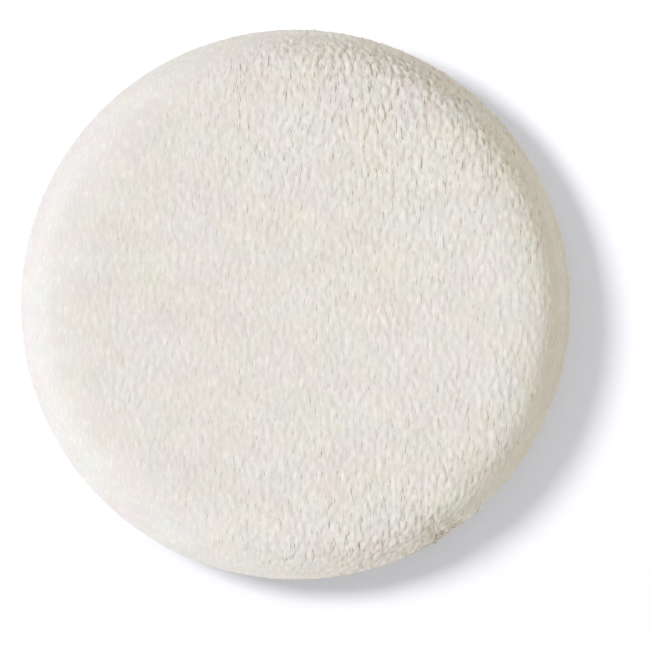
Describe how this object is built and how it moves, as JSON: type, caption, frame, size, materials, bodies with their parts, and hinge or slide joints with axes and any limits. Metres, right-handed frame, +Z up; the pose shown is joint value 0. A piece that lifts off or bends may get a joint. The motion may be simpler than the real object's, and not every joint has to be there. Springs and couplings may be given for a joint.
{
  "type": "powder puff",
  "caption": "Round padded powder puff with a flat, gently crowned velour face, rounded sides drawn in at a seam round the edge, and a foam and wadding filling.",
  "frame": {"origin": "centre of the flat underside of the back, where the puff rests", "axes": "+Z up through the face, along the puff's axis; +Y up the wales of the velour"},
  "size_m": [0.07, 0.07, 0.015],
  "materials": {
    "velour": "cream cotton velour, soft napped pile in fine wales",
    "wadding": "white fibre wadding",
    "foam": "soft open-cell foam, pale cream",
    "thread": "cream spun sewing thread"
  },
  "bodies": {
    "root": {"front_cover": "velour", "back_cover": "velour", "front_wadding": "wadding", "back_wadding": "wadding", "foam_core": "foam", "seam_thread": "thread", "closing_thread": "thread"}
  },
  "joints": []
}
